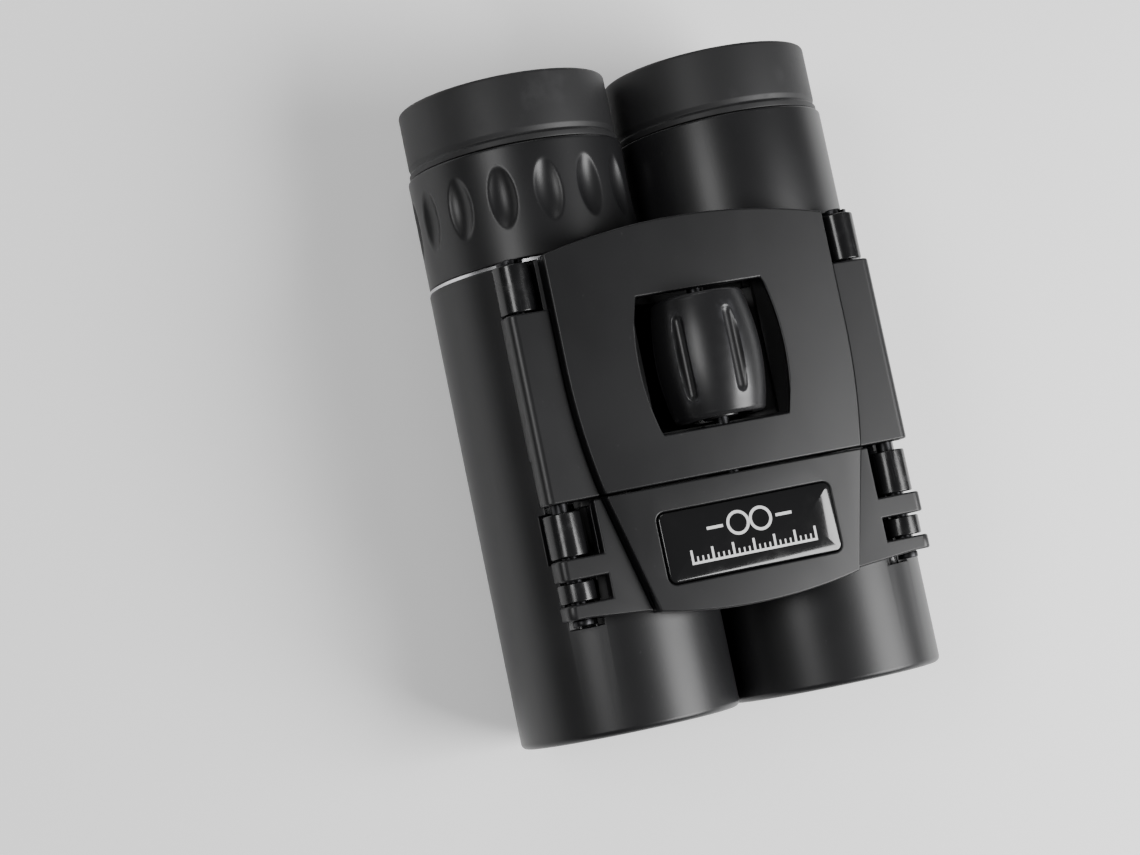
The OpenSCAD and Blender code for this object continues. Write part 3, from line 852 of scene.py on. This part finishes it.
class FinishInside(bpy.types.Operator):
    """Give every other CAD piece its procedural finish"""
    bl_idname = "bino.inside"
    bl_label = "Inner pieces"

    def execute(self, context):
        for node, obj in frame["nodes"].items():
            material = finish_for(slot_of(node))
            obj.data.materials.clear()
            obj.data.materials.append(material)
            obj.data.shade_smooth()
        return {"FINISHED"}


class BuildStage(bpy.types.Operator):
    """Set the pale floor, the soft lights and the camera"""
    bl_idname = "bino.stage"
    bl_label = "Studio"

    def execute(self, context):
        settings = context.scene.bino_stage
        self.floor(settings)
        self.lights(context)
        self.camera(context, settings)
        return {"FINISHED"}

    def floor(self, settings):
        """A wide pale sheet under the barrels."""
        bm = bmesh.new()
        bmesh.ops.create_grid(bm, x_segments=1, y_segments=1, size=3.0)
        mesh = bpy.data.meshes.new("studio_floor")
        bm.to_mesh(mesh)
        bm.free()
        floor = bpy.data.objects.new("studio_floor", mesh)
        bpy.context.scene.collection.objects.link(floor)
        floor.location.z = CAD_BOX[0][2]
        f = Finish("pale studio floor", Roughness=0.7, IOR=1.3,
                   Emission_Color=(1, 1, 1, 1), Emission_Strength=0.25)
        cloud = f.noise(60, 2)
        color = tuple(settings.floor_color)
        mesh.materials.append(f.feed(Base_Color=f.blend(cloud, shade(color, 0.99), color)))

    def lights(self, context):
        """Soft boxes round the object and a pale surround."""
        world = bpy.data.worlds.new("pale surround")
        context.scene.world = world
        world.use_nodes = True
        background = world.node_tree.nodes["Background"]
        background.inputs["Color"].default_value = (1, 1, 1, 1)
        background.inputs["Strength"].default_value = 0.1
        target = Vector((0, 0, 0.02))
        boxes = (
            ("key_box", (-0.30, 0.16, 0.33), (0.32, 0.30), 3.8),
            ("fill_box", (0.45, -0.10, 0.55), (0.3, 0.2), 1.6),
            ("eye_end_box", (0.1, -0.95, 0.7), (0.6, 0.25), 1.6),
        )
        for name, place, size, power in boxes:
            light = bpy.data.lights.new(name, "AREA")
            light.shape = "RECTANGLE"
            light.size, light.size_y = size
            light.energy = power
            lamp = bpy.data.objects.new(name, light)
            lamp.location = place
            lamp.rotation_euler = (target - Vector(place)).to_track_quat("-Z", "Y").to_euler()
            context.scene.collection.objects.link(lamp)

    def camera(self, context, settings):
        """The camera, above the bridge and a little to the user's right."""
        data = bpy.data.cameras.new("camera")
        data.sensor_width = 36
        data.lens = settings.lens
        camera = bpy.data.objects.new("camera", data)
        camera.location = settings.camera_place
        camera.rotation_euler = Euler(settings.camera_turn)
        context.scene.collection.objects.link(camera)
        context.scene.camera = camera


class BinocularsPanel(bpy.types.Panel):
    """Sizes, colours and building steps of the binoculars"""
    bl_idname = "VIEW3D_PT_binoculars"
    bl_label = "Folding binoculars"
    bl_space_type = "VIEW_3D"
    bl_region_type = "UI"
    bl_category = "Binoculars"

    def draw(self, context):
        layout = self.layout
        for name, group in SETTINGS.items():
            box = layout.box()
            box.label(text=group.__doc__)
            for prop in group.__annotations__:
                box.prop(getattr(context.scene, name), prop)
        for step in STEPS:
            layout.operator(step.bl_idname)


STEPS = (FinishInside, BuildCovers, BuildBadge, BuildWheel, BuildDioptreRing, BuildEyecups,
         BuildBarrels, BuildStage)
CLASSES = (*SETTINGS.values(), *STEPS, BinocularsPanel)


def register():
    """Adds the classes and the scene's settings."""
    for cls in CLASSES:
        bpy.utils.register_class(cls)
    for name, group in SETTINGS.items():
        setattr(bpy.types.Scene, name, PointerProperty(type=group))


def unregister():
    """Removes them again."""
    for name in SETTINGS:
        delattr(bpy.types.Scene, name)
    for cls in reversed(CLASSES):
        bpy.utils.unregister_class(cls)


def main():
    """Builds everything in order."""
    register()
    for step in STEPS:
        group, name = step.bl_idname.split(".")
        getattr(getattr(bpy.ops, group), name)()


if __name__ == "__main__":
    main()
